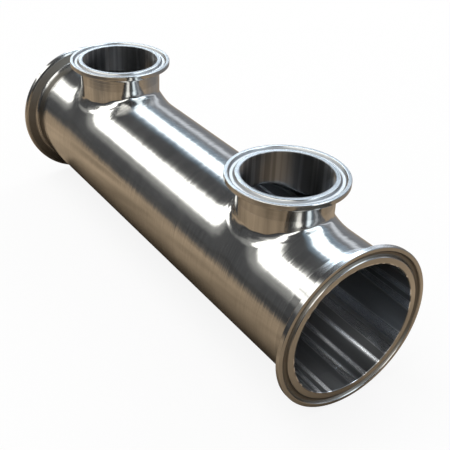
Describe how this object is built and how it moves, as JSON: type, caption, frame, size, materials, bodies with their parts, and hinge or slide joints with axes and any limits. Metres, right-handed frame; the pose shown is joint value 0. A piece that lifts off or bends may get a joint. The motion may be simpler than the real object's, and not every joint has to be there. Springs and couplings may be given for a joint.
{
  "type": "pulled outlet pipe manifold",
  "caption": "Straight polished steel tube with smaller flanged outlets pulled from its wall on one side, and a grooved clamp flange on every port.",
  "frame": {"origin": "on the centre line of the run, midway between the two outlets", "axes": "+X along the run, +Z along the outlets, from the run's centre line out of their mouths"},
  "size_m": [0.2984, 0.0908, 0.1025],
  "materials": {
    "tube_steel": "polished stainless steel with a fine grain round the tube",
    "ferrule_steel": "turned and polished stainless steel"
  },
  "bodies": {
    "root": {"header_tube": "tube_steel", "run_ferrule_left": "ferrule_steel", "run_ferrule_right": "ferrule_steel", "outlet_ferrule_left": "ferrule_steel", "outlet_ferrule_right": "ferrule_steel"}
  },
  "joints": []
}
